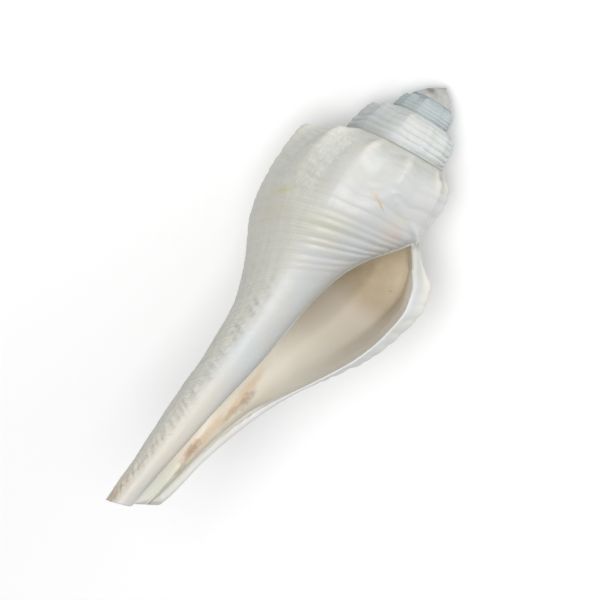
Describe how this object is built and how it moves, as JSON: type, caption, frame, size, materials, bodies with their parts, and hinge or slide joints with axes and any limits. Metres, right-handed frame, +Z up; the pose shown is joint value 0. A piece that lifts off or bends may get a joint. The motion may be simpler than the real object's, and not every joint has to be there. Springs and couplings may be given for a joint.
{
  "type": "conch shell",
  "caption": "Spindle-shaped sea shell with a knobbed spire, an open oval mouth and a long open canal, lying mouth upward.",
  "frame": {"origin": "centre of the bounding box in plan, at the height of the lowest point", "axes": "+X runs along the shell towards the free end of the canal, +Z is up with the mouth facing upward, +Y completes a right-handed frame"},
  "size_m": [0.1304, 0.0576, 0.082],
  "materials": {
    "shell": "bleached off-white calcium carbonate, satin outside, glazed inside the mouth"
  },
  "bodies": {
    "root": {"shell": "shell"}
  },
  "joints": []
}
